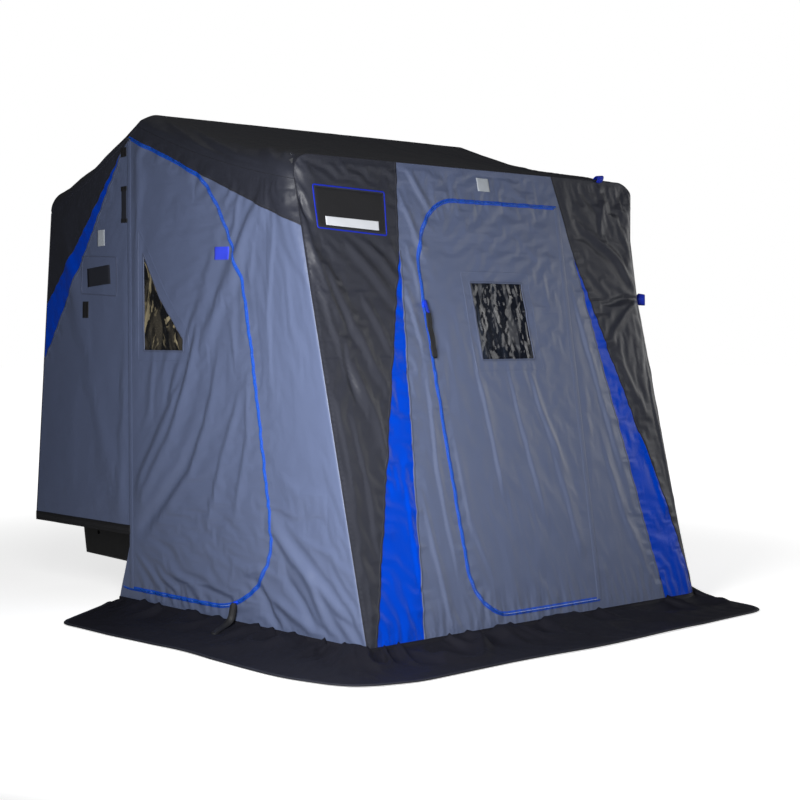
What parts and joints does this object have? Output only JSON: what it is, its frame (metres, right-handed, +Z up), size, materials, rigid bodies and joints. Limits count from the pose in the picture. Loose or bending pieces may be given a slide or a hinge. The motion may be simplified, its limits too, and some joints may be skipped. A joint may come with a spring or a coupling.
{
  "type": "ice fishing hut",
  "caption": "Flip-over ice fishing hut: fabric shell on folding pole bows over a moulded tow sled, with zip doors, clear windows and a snow skirt.",
  "frame": {"origin": "middle of the footprint on the floor, under the centre of the overall box", "axes": "+Z up, the front wall with its door faces -Y, the sled lies along X at the +Y end"},
  "size_m": [2.6, 2.5166, 1.97],
  "materials": {
    "sled_plastic": "moulded black polyethylene, satin",
    "bracket_steel": "black powder coat",
    "pole_metal": "plain square tube, satin",
    "window_film": "flexible clear vinyl, creased",
    "blue_fabric": "coated polyester, semi-gloss",
    "black_fabric": "coated polyester, semi-gloss",
    "grey_fabric": "coated polyester, semi-gloss, blue-grey",
    "blue_webbing": "woven tape and zip coil"
  },
  "bodies": {
    "hut": {"sled": "sled_plastic", "left_pivot": "bracket_steel", "right_pivot": "bracket_steel", "rear_bow": "pole_metal", "centre_bow": "pole_metal", "front_bow": "pole_metal", "front_roof": "black_fabric", "rear_roof": "black_fabric", "rear_wall": "black_fabric", "left_shoulder": "black_fabric", "right_shoulder": "black_fabric", "left_rear_shoulder": "black_fabric", "right_rear_shoulder": "black_fabric", "left_stripe": "blue_fabric", "right_stripe": "blue_fabric", "left_end_panel": "grey_fabric", "right_end_panel": "grey_fabric", "sled_bands": "black_fabric", "left_side_panel": "grey_fabric", "right_side_panel": "grey_fabric", "left_sill": "grey_fabric", "right_sill": "grey_fabric", "right_door": "grey_fabric", "right_window": "window_film", "left_corner": "black_fabric", "right_corner": "black_fabric", "left_gore": "blue_fabric", "right_gore": "blue_fabric", "front_head": "grey_fabric", "front_jamb_left": "grey_fabric", "front_jamb_right": "grey_fabric", "front_sill": "grey_fabric", "front_skirt": "black_fabric", "left_skirt": "black_fabric", "right_skirt": "black_fabric", "door_seams": "blue_webbing"},
    "front_leaf": {"front_door": "grey_fabric", "front_window": "window_film"},
    "left_leaf": {"left_door": "grey_fabric", "left_window": "window_film"}
  },
  "joints": [
    {"name": "front_door_fold", "type": "hinge", "parent": "hut", "child": "front_leaf", "pos_m": [0.275, -0.90322, 0.08353], "axis": [0.0951, 0.2349, 0.9674], "range_deg": [0, 110]},
    {"name": "left_door_fold", "type": "hinge", "parent": "hut", "child": "left_leaf", "pos_m": [-0.928, 0.51543, 0.088], "axis": [0, 0, 1], "range_deg": [-110, 0]}
  ]
}
